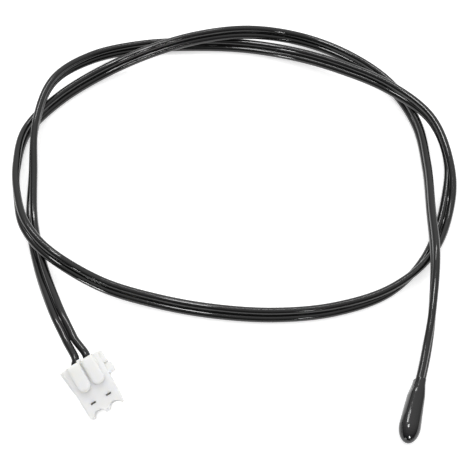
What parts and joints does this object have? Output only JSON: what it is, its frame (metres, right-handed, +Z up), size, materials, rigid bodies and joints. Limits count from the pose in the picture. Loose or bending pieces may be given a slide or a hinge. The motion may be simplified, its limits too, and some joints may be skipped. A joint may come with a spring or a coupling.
{
  "type": "bead thermistor",
  "caption": "Black epoxy drop that senses temperature, on a flat black twin cable laid in a loose coil, which ends in a white crimp plug.",
  "frame": {"origin": "on the floor, under the middle of the sensing head", "axes": "+Y along the sensing head from its tip to the cable, +Z up, +X to the right as seen in the picture's view"},
  "size_m": [0.0742, 0.0788, 0.0077],
  "materials": {
    "dipped_epoxy": "glossy dipped epoxy, with a faintly wavy skin",
    "black_pvc": "glossy soft PVC, extruded",
    "natural_nylon": "satin, slightly translucent, moulded",
    "tin_plate": "bright tin plate on bronze strip",
    "tinned_copper": "tinned copper strands",
    "solder": "smooth solder",
    "lead_wire": "drawn wire",
    "coated_element": "glassy coating over ceramic"
  },
  "bodies": {
    "root": {"sensing_head": "dipped_epoxy", "thermistor_element": "coated_element", "element_lead_upper": "lead_wire", "element_lead_lower": "lead_wire", "solder_joint_upper": "solder", "solder_joint_lower": "solder", "head_conductor_upper": "tinned_copper", "head_conductor_lower": "tinned_copper", "flat_cable": "black_pvc", "plug_conductor_left": "tinned_copper", "plug_conductor_right": "tinned_copper", "crimp_contact_left": "tin_plate", "crimp_contact_right": "tin_plate", "plug_housing": "natural_nylon"}
  },
  "joints": []
}
